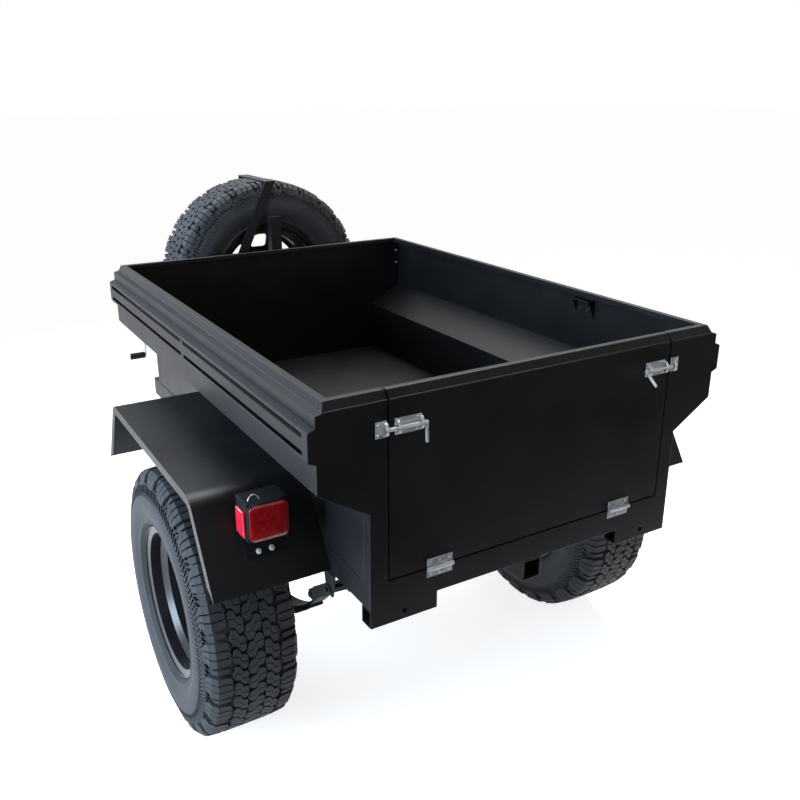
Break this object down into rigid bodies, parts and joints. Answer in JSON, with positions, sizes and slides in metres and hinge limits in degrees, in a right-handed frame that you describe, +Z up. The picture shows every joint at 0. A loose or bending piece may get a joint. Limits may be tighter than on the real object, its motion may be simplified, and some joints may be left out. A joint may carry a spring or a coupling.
{
  "type": "off-road cargo trailer",
  "caption": "Black steel off-road cargo trailer with a stepped open tub, slotted tie rails, drop tailgate, angular fenders, front spare, A-frame drawbar and jack.",
  "frame": {"origin": "on the ground at the middle of the overall length and width", "axes": "+Y forward towards the coupler, +X right, +Z up"},
  "size_m": [1.68, 2.9408, 1.5479],
  "materials": {
    "powder_coat": "satin",
    "zinc": "satin",
    "jack_steel": "satin",
    "hub_iron": "matte",
    "wheel_paint": "semi-gloss",
    "tyre_rubber": "matte",
    "lens_red": "gloss",
    "lamp_plastic": "satin",
    "spring_black": "matte"
  },
  "bodies": {
    "trailer": {"floor_pan": "powder_coat", "side_wall_left": "powder_coat", "side_wall_right": "powder_coat", "front_wall": "powder_coat", "rear_frame": "powder_coat", "tie_rail_left": "powder_coat", "tie_rail_right": "powder_coat", "wall_brackets": "powder_coat", "hinge_sill_leaves": "zinc", "latch_keepers": "zinc", "fender_left": "powder_coat", "fender_right": "powder_coat", "lamp_housings": "lamp_plastic", "lamp_lenses": "lens_red", "frame_rail_left": "powder_coat", "frame_rail_right": "powder_coat", "crossmembers": "powder_coat", "corner_sockets": "powder_coat", "receiver": "powder_coat", "drawbar_left": "powder_coat", "drawbar_right": "powder_coat", "coupler": "powder_coat", "coupler_lever": "zinc", "jack_body": "jack_steel", "jack_crank": "zinc", "axle": "spring_black", "leaf_spring_left": "spring_black", "leaf_spring_right": "spring_black", "spring_hangers": "spring_black", "spring_shackles": "spring_black", "axle_clamps": "spring_black", "spare_carrier": "powder_coat", "spare_strap": "powder_coat", "rim_spare": "wheel_paint", "tyre_spare": "tyre_rubber"},
    "gate": {"tailgate": "powder_coat", "hinge_gate_leaves": "zinc", "latch_cases": "zinc", "latch_bolts": "zinc"},
    "wheel_left": {"hub_left": "hub_iron", "rim_left": "wheel_paint", "tyre_left": "tyre_rubber"},
    "wheel_right": {"hub_right": "hub_iron", "rim_right": "wheel_paint", "tyre_right": "tyre_rubber"},
    "leg": {"jack_leg": "jack_steel"}
  },
  "joints": [
    {"name": "wheel_left_spin", "type": "hinge", "parent": "trailer", "child": "wheel_left", "pos_m": [-0.69, -0.67839, 0.419], "axis": [1, 0, 0], "continuous": true},
    {"name": "wheel_right_spin", "type": "hinge", "parent": "trailer", "child": "wheel_right", "pos_m": [0.69, -0.67839, 0.419], "axis": [1, 0, 0], "continuous": true},
    {"name": "gate_drop", "type": "hinge", "parent": "trailer", "child": "gate", "pos_m": [0, -1.42389, 0.7775], "axis": [1, 0, 0], "range_deg": [0, 180]},
    {"name": "leg_lift", "type": "slide", "parent": "trailer", "child": "leg", "axis": [0, 0, 1], "range_m": [0, 0.24]}
  ]
}
